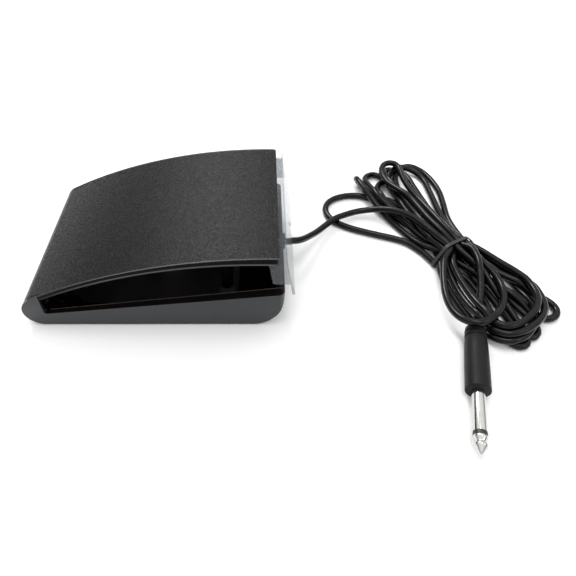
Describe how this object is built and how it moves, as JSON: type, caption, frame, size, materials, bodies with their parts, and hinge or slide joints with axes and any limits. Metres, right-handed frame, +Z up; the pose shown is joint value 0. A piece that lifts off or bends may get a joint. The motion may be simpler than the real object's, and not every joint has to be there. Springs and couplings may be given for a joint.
{
  "type": "sustain pedal",
  "caption": "Wedge foot pedal with a curved hinged treadle, sprung and switching inside, clear rear guard, free cord tied in a hank and a quarter-inch mono plug.",
  "frame": {"origin": "middle of the pedal on the floor, under its rubber foot pad", "axes": "+X from the hinged nose to the rear wall where the cord leaves, +Y across the pedal, +Z up"},
  "size_m": [0.2816, 0.2237, 0.048],
  "materials": {
    "treadle_plastic": "black moulded plastic with a fine spark-eroded grain, satin sheen",
    "shell_plastic": "dark grey-black moulded plastic, smooth satin",
    "inner_plastic": "black moulded plastic, plain",
    "rubber": "black rubber, matt",
    "steel": "zinc-plated steel",
    "brass": "tinned brass contact blade",
    "wire_insulation": "thin insulated wire",
    "clear_plastic": "thin clear formed plastic sheet, glossy with fine scuffs",
    "cord_pvc": "black PVC cord jacket, glossy",
    "plug_grip_plastic": "dark grey-black moulded plug grip, matt",
    "plug_metal": "bright nickel plate",
    "plug_insulator_plastic": "black insulating ring"
  },
  "bodies": {
    "base": {"base_shell": "shell_plastic", "bottom_cover": "inner_plastic", "switch_body": "inner_plastic", "cord_clamp": "inner_plastic", "foot_pad": "rubber", "stop_bumper_1": "rubber", "stop_bumper_2": "rubber", "cord_grommet": "rubber", "cover_screw_1": "steel", "cover_screw_2": "steel", "cover_screw_3": "steel", "cover_screw_4": "steel", "hinge_pin": "steel", "return_spring": "steel", "lever_pin": "steel", "switch_screw_1": "steel", "switch_screw_2": "steel", "clamp_screw_1": "steel", "clamp_screw_2": "steel", "switch_terminal_1": "brass", "switch_terminal_2": "brass", "inner_wire_1": "wire_insulation", "inner_wire_2": "wire_insulation", "cord_lead": "cord_pvc", "cord_loose_loop": "cord_pvc", "cord_hank": "cord_pvc", "hank_tie": "cord_pvc", "plug_grip": "plug_grip_plastic", "plug_sleeve": "plug_metal", "plug_tip": "plug_metal", "plug_insulator": "plug_insulator_plastic"},
    "treadle": {"treadle": "treadle_plastic", "rear_guard": "clear_plastic"},
    "lever": {"switch_lever": "steel"},
    "plunger": {"switch_plunger": "rubber"}
  },
  "joints": [
    {"name": "treadle_hinge", "type": "hinge", "parent": "base", "child": "treadle", "pos_m": [-0.0599, 0, 0.0104], "axis": [0, 1, 0], "range_deg": [0, 2.4], "stiffness_Nm_per_rad": 6, "springref_deg": -5.73, "deforming": ["return_spring"]},
    {"name": "switch_lever_hinge", "type": "hinge", "parent": "base", "child": "lever", "pos_m": [0.0091, 0.01715, 0.0236], "axis": [0, 1, 0], "range_deg": [0, 10]},
    {"name": "switch_plunger_slide", "type": "slide", "parent": "base", "child": "plunger", "axis": [0, 0, -1], "range_m": [0, 0.0017]}
  ],
  "couplings": [
    {"joint": "switch_lever_hinge", "follows": "treadle_hinge", "ratio": 4.1},
    {"joint": "switch_plunger_slide", "follows": "treadle_hinge", "m_per_rad": 0.0382}
  ]
}
